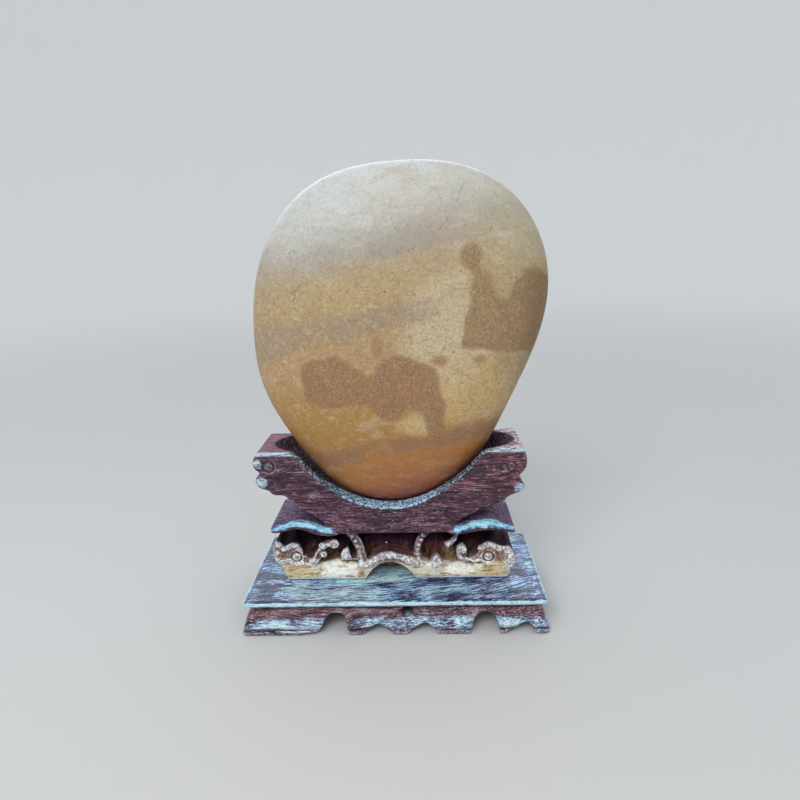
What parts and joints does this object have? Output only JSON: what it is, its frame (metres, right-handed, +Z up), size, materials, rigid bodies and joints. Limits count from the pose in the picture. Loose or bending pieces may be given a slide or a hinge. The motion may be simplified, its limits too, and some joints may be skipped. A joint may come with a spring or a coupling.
{
  "type": "scholars rock on stand",
  "caption": "Smooth egg-shaped river cobble with dark blotches, shown upright in the pocket of a carved dark hardwood stand on a scalloped base.",
  "frame": {"origin": "bottom centre of the stand's feet, on the surface it stands on", "axes": "+Z up, the front faces -Y, +X to the right as seen from the front"},
  "size_m": [0.1524, 0.0704, 0.2207],
  "materials": {
    "river_stone": "smooth water-worn cobble, grey-white top, gold and brown below, soft satin",
    "carved_hardwood": "dark reddish hardwood with a glossy lacquer, pale golden sapwood along the bottom rail",
    "base_hardwood": "dark reddish hardwood with a glossy lacquer over open grain"
  },
  "bodies": {
    "root": {"stone": "river_stone", "carved_cradle": "carved_hardwood", "base": "base_hardwood"}
  },
  "joints": []
}
